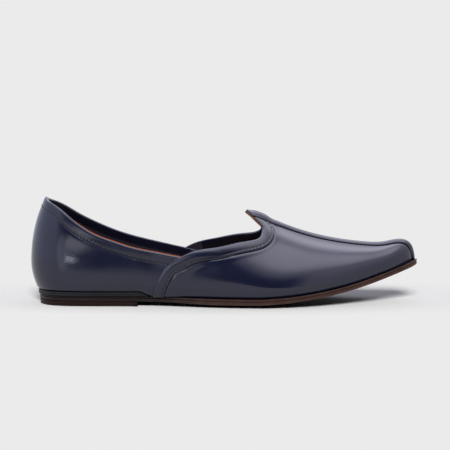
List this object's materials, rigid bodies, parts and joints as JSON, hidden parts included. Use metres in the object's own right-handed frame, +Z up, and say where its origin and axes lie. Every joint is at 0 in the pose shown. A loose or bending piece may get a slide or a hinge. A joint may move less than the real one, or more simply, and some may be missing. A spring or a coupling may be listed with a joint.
{
  "type": "jutti shoe",
  "caption": "Leather slip-on jutti with a pointed, raised toe, a peaked throat, a raised centre band and a low stacked heel.",
  "frame": {"origin": "on the floor, under the middle of the heel, on the flat tread of the heel block", "axes": "+Z up, +X from the heel to the toe, +Y towards the inner side of the foot"},
  "size_m": [0.3, 0.0961, 0.0831],
  "materials": {
    "navy_leather": "smooth, soft gloss",
    "navy_trim": "folded and stitched, soft gloss",
    "tan_leather": "plain, matt",
    "brown_sole_leather": "dyed and waxed edge",
    "black_leather": "dyed edge, matt"
  },
  "bodies": {
    "root": {"upper": "navy_leather", "centre_band": "navy_leather", "collar_strip": "navy_trim", "throat_strip_outer": "navy_trim", "throat_strip_inner": "navy_trim", "insole": "tan_leather", "midsole": "brown_sole_leather", "outsole": "brown_sole_leather", "heel_block": "brown_sole_leather", "heel_rand": "black_leather"}
  },
  "joints": []
}
